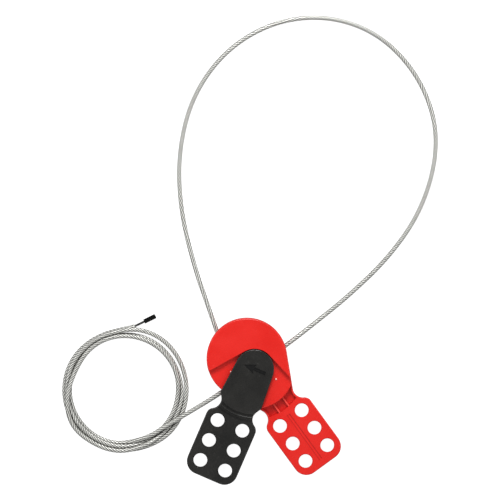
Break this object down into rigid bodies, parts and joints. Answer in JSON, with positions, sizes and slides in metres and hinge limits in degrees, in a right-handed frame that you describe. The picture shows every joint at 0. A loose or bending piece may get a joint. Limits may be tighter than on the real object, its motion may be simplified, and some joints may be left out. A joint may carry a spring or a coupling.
{
  "type": "cable lockout hasp",
  "caption": "Cable lockout hasp: a round body with a holed hasp tab, a matching arm that swings over it, and a twisted steel cable looped through the body and coiled.",
  "frame": {"origin": "where the arm's pivot axis meets the rear face that the hasp rests on", "axes": "+Z out of the front, towards the arm; -Y along the fixed hasp tab; -X the way the free end of the cable leaves the body"},
  "size_m": [0.3897, 0.3142, 0.016],
  "materials": {
    "red_nylon": "moulded, satin",
    "black_nylon": "moulded, fine grain",
    "zinc_steel": "zinc plated",
    "ferrule_aluminium": "crimped",
    "coated_rope": "galvanised wire rope in a thin clear coat",
    "black_sleeve": "shrunk sleeve"
  },
  "bodies": {
    "housing": {"rear_body": "red_nylon", "front_cover": "red_nylon", "cover_screws": "zinc_steel", "cable_ferrule": "ferrule_aluminium", "cable": "coated_rope", "cable_coil": "coated_rope", "cable_end": "coated_rope", "end_sleeve": "black_sleeve"},
    "arm": {"lock_arm": "black_nylon", "keeper_plate": "zinc_steel", "keeper_screws": "zinc_steel"}
  },
  "joints": [
    {"name": "arm_swing", "type": "hinge", "parent": "housing", "child": "arm", "pos_m": [0, 0, 0], "axis": [0, 0, 1], "range_deg": [-30.5, 59.5]}
  ]
}
